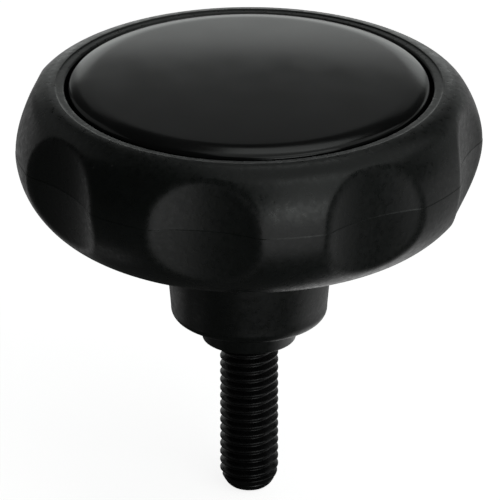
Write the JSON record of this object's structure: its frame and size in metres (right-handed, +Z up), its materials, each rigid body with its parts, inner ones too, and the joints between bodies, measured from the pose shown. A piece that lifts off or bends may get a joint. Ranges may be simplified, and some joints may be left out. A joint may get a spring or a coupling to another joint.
{
  "type": "scalloped clamping knob",
  "caption": "Round black plastic clamping knob with a scalloped rim, a press-in domed cap on top and a threaded steel stud below its hub.",
  "frame": {"origin": "centre of the clamping face at the end of the spigot, where the stud leaves it", "axes": "+Z up along the knob's axis towards the cap, the stud along -Z, a finger scallop facing +X"},
  "size_m": [0.0776, 0.0776, 0.0764],
  "materials": {
    "grip_plastic": "fine satin moulded black",
    "cap_plastic": "semi-gloss moulded black",
    "stud_steel": "black oxide steel"
  },
  "bodies": {
    "root": {"grip_body": "grip_plastic", "cover_cap": "cap_plastic", "threaded_stud": "stud_steel"}
  },
  "joints": []
}
